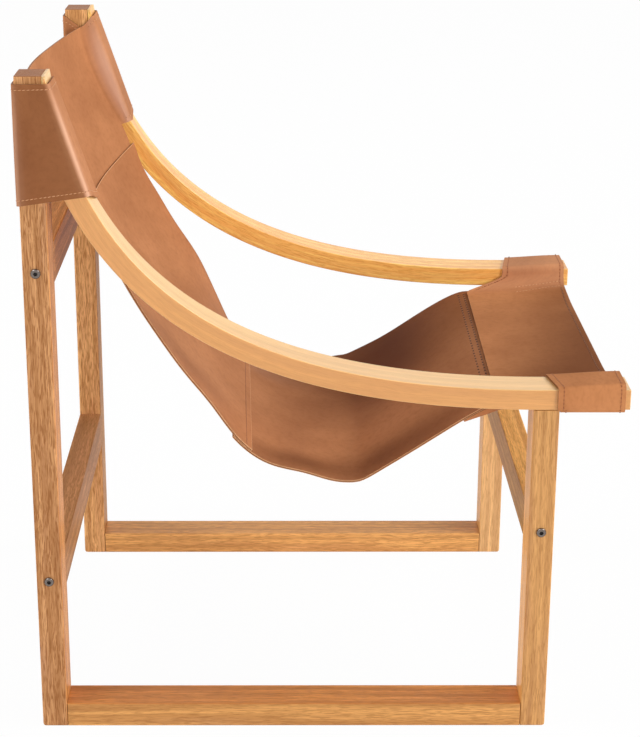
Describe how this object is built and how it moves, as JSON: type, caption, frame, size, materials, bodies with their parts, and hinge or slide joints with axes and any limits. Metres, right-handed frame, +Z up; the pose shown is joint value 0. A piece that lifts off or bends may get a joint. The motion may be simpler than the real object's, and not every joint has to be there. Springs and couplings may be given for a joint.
{
  "type": "sling lounge chair",
  "caption": "Low lounge chair: square hardwood side frames with swept arms, bolted cross rails and a hanging leather sling that sleeves over the back posts and loops round the arms.",
  "frame": {"origin": "on the floor, under the middle of the overall length and width", "axes": "+X to the front of the chair, +Y to the sitter's left, +Z up"},
  "size_m": [0.756, 0.6074, 0.852],
  "materials": {
    "hardwood": "oiled open-pored hardwood, satin",
    "leather": "tan saddle leather, smooth grain with pale cut edges, satin",
    "bright_steel": "bright nickel plated steel, polished",
    "zinc_steel": "zinc plated steel",
    "dowel_beech": "plain dry beech"
  },
  "bodies": {
    "root": {"rear_leg_left": "hardwood", "rear_leg_right": "hardwood", "front_leg_left": "hardwood", "front_leg_right": "hardwood", "bottom_rail_left": "hardwood", "bottom_rail_right": "hardwood", "arm_left": "hardwood", "arm_right": "hardwood", "upper_back_rail": "hardwood", "lower_back_rail": "hardwood", "front_rail": "hardwood", "back_panel": "leather", "lower_back_panel": "leather", "seat_panel": "leather", "front_panel": "leather", "bolt_upper_back_left": "bright_steel", "bolt_upper_back_right": "bright_steel", "bolt_lower_back_left": "bright_steel", "bolt_lower_back_right": "bright_steel", "bolt_front_left": "bright_steel", "bolt_front_right": "bright_steel", "barrel_nut_upper_back_left": "zinc_steel", "barrel_nut_upper_back_right": "zinc_steel", "barrel_nut_lower_back_left": "zinc_steel", "barrel_nut_lower_back_right": "zinc_steel", "barrel_nut_front_left": "zinc_steel", "barrel_nut_front_right": "zinc_steel", "rail_dowel_upper_back_left": "dowel_beech", "rail_dowel_upper_back_right": "dowel_beech", "rail_dowel_lower_back_left": "dowel_beech", "rail_dowel_lower_back_right": "dowel_beech", "rail_dowel_front_left": "dowel_beech", "rail_dowel_front_right": "dowel_beech", "rear_foot_joint_dowel_left_1": "dowel_beech", "rear_foot_joint_dowel_left_2": "dowel_beech", "rear_foot_joint_dowel_right_1": "dowel_beech", "rear_foot_joint_dowel_right_2": "dowel_beech", "front_foot_joint_dowel_left_1": "dowel_beech", "front_foot_joint_dowel_left_2": "dowel_beech", "front_foot_joint_dowel_right_1": "dowel_beech", "front_foot_joint_dowel_right_2": "dowel_beech", "arm_front_joint_dowel_left_1": "dowel_beech", "arm_front_joint_dowel_left_2": "dowel_beech", "arm_front_joint_dowel_right_1": "dowel_beech", "arm_front_joint_dowel_right_2": "dowel_beech", "arm_top_joint_dowel_left_1": "dowel_beech", "arm_top_joint_dowel_left_2": "dowel_beech", "arm_top_joint_dowel_right_1": "dowel_beech", "arm_top_joint_dowel_right_2": "dowel_beech"}
  },
  "joints": []
}
